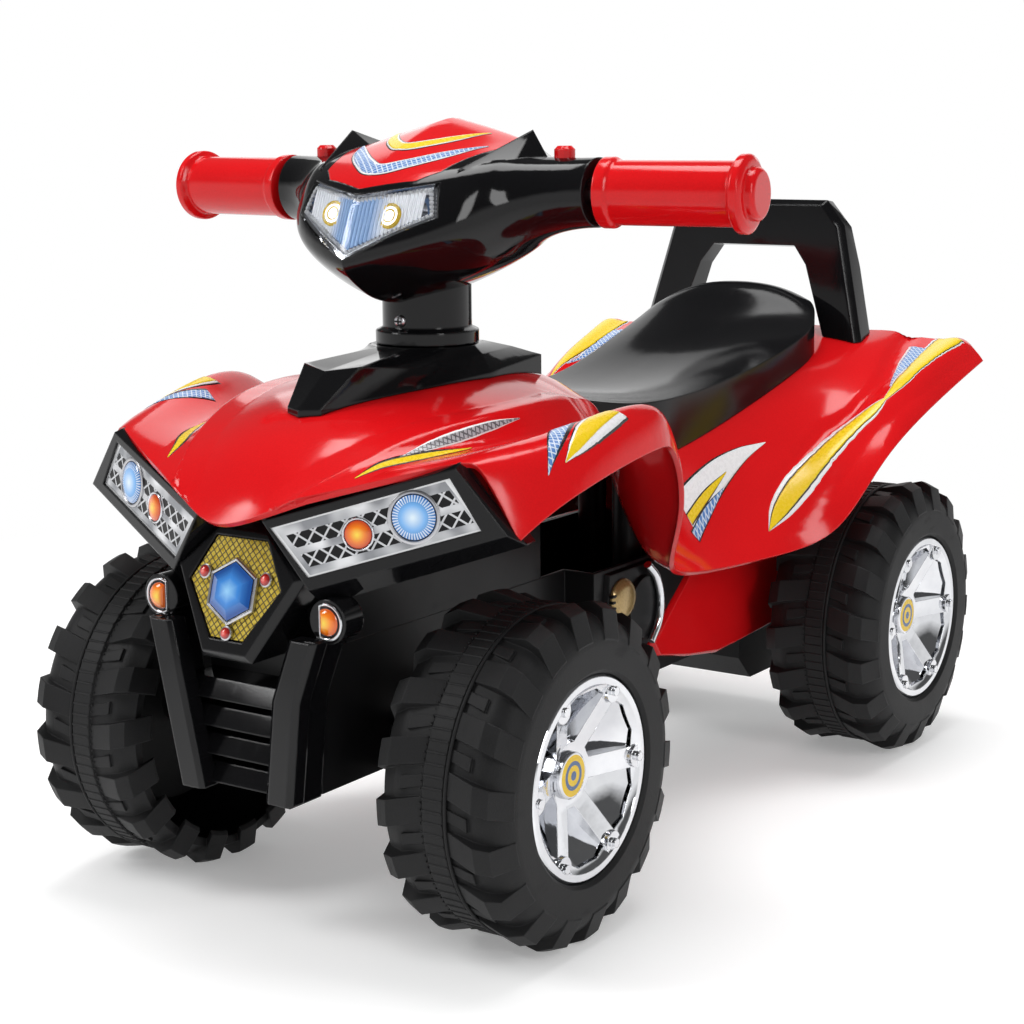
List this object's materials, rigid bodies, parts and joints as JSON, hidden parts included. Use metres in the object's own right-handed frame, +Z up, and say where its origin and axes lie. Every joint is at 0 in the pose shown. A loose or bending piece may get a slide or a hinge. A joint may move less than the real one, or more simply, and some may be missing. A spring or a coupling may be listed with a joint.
{
  "type": "ride-on toy quad bike",
  "caption": "Foot-to-floor ride-on quad bike for small children: moulded shell, saddle with grab hoop, turning handlebar linked to the front wheels, treaded wheels on spoked rims.",
  "frame": {"origin": "on the ground under the middle of the bounding box", "axes": "forward is -Y, the rider's left is +X, up is +Z"},
  "size_m": [0.3806, 0.5904, 0.4063],
  "materials": {
    "red_plastic": "glossy moulded red",
    "black_gloss": "glossy moulded black",
    "black_satin": "satin moulded black",
    "steel": "plain steel rod",
    "bush_white": "natural nylon",
    "tyre_black": "blow-moulded matt black plastic",
    "chrome": "bright plated plastic",
    "cap_yellow": "plain yellow",
    "panel_silver": "silver printed film",
    "badge_gold": "gold printed film",
    "lamp_orange": "orange",
    "clear_lens": "clear ribbed plastic"
  },
  "bodies": {
    "frame": {"upper_shell": "red_plastic", "side_panel_left": "red_plastic", "side_panel_right": "red_plastic", "tail_panel": "red_plastic", "seat": "black_gloss", "grab_hoop": "black_gloss", "steering_base": "black_gloss", "front_guard": "black_gloss", "grille_housing": "black_gloss", "lamp_housing_left": "black_gloss", "lamp_housing_right": "black_gloss", "chassis": "black_satin", "front_housing": "black_satin", "shell_posts": "black_satin", "rear_axle_housing": "black_satin", "front_axle_beam": "black_satin", "rear_spacers": "black_satin", "engine_panel_left": "black_satin", "engine_panel_right": "black_satin", "kingpins": "steel", "rear_axle": "steel", "rear_axle_nuts": "steel", "column_bush": "bush_white", "lamp_panel_left": "panel_silver", "lamp_panel_right": "panel_silver", "badge_plate": "badge_gold", "blinker_left": "lamp_orange", "blinker_right": "lamp_orange"},
    "steering": {"steering_rod": "steel", "steering_column": "black_gloss", "column_screw": "steel", "cowl_lower": "black_gloss", "cowl_cover": "red_plastic", "headlamp_lens": "clear_lens", "headlamp_reflector": "chrome", "headlamp_leds": "lamp_orange", "handle_bar": "steel", "grip_left": "red_plastic", "grip_right": "red_plastic"},
    "button_left": {"button_left": "red_plastic"},
    "button_right": {"button_right": "red_plastic"},
    "tie": {"tie_bar": "black_satin"},
    "knuckle_left": {"knuckle_left": "black_satin", "stub_axle_left": "steel", "front_nut_left": "steel"},
    "knuckle_right": {"knuckle_right": "black_satin", "stub_axle_right": "steel", "front_nut_right": "steel"},
    "wheel_front_left": {"tyre_front_left": "tyre_black", "rim_front_left": "chrome", "hub_cap_front_left": "cap_yellow"},
    "wheel_front_right": {"tyre_front_right": "tyre_black", "rim_front_right": "chrome", "hub_cap_front_right": "cap_yellow"},
    "wheel_rear_left": {"tyre_rear_left": "tyre_black", "rim_rear_left": "chrome", "hub_cap_rear_left": "cap_yellow"},
    "wheel_rear_right": {"tyre_rear_right": "tyre_black", "rim_rear_right": "chrome", "hub_cap_rear_right": "cap_yellow"}
  },
  "joints": [
    {"name": "steering_turn", "type": "hinge", "parent": "frame", "child": "steering", "pos_m": [0, -0.12224, 0.3], "axis": [0, 0, 1], "range_deg": [-27, 27]},
    {"name": "knuckle_left_turn", "type": "hinge", "parent": "frame", "child": "knuckle_left", "pos_m": [0.06, -0.19724, 0.087], "axis": [0, 0, 1], "range_deg": [-18.1, 18.1]},
    {"name": "knuckle_right_turn", "type": "hinge", "parent": "frame", "child": "knuckle_right", "pos_m": [-0.06, -0.19724, 0.087], "axis": [0, 0, 1], "range_deg": [-18.1, 18.1]},
    {"name": "tie_slide", "type": "slide", "parent": "frame", "child": "tie", "axis": [1, 0, 0], "range_m": [-0.0138, 0.0138]},
    {"name": "wheel_front_left_spin", "type": "hinge", "parent": "knuckle_left", "child": "wheel_front_left", "pos_m": [0.115, -0.19724, 0.087], "axis": [1, 0, 0], "continuous": true},
    {"name": "wheel_front_right_spin", "type": "hinge", "parent": "knuckle_right", "child": "wheel_front_right", "pos_m": [-0.115, -0.19724, 0.087], "axis": [1, 0, 0], "continuous": true},
    {"name": "wheel_rear_left_spin", "type": "hinge", "parent": "frame", "child": "wheel_rear_left", "pos_m": [0.115, 0.20276, 0.087], "axis": [1, 0, 0], "continuous": true},
    {"name": "wheel_rear_right_spin", "type": "hinge", "parent": "frame", "child": "wheel_rear_right", "pos_m": [-0.115, 0.20276, 0.087], "axis": [1, 0, 0], "continuous": true},
    {"name": "button_left_press", "type": "slide", "parent": "steering", "child": "button_left", "axis": [0, 0, -1], "range_m": [0, 0.0025], "stiffness_N_per_m": 200, "springref_m": -0.001},
    {"name": "button_right_press", "type": "slide", "parent": "steering", "child": "button_right", "axis": [0, 0, -1], "range_m": [0, 0.0025], "stiffness_N_per_m": 200, "springref_m": -0.001}
  ],
  "couplings": [
    {"joint": "knuckle_left_turn", "follows": "steering_turn", "ratio": 0.66667},
    {"joint": "knuckle_right_turn", "follows": "steering_turn", "ratio": 0.66667},
    {"joint": "tie_slide", "follows": "steering_turn", "m_per_rad": -0.0292}
  ]
}
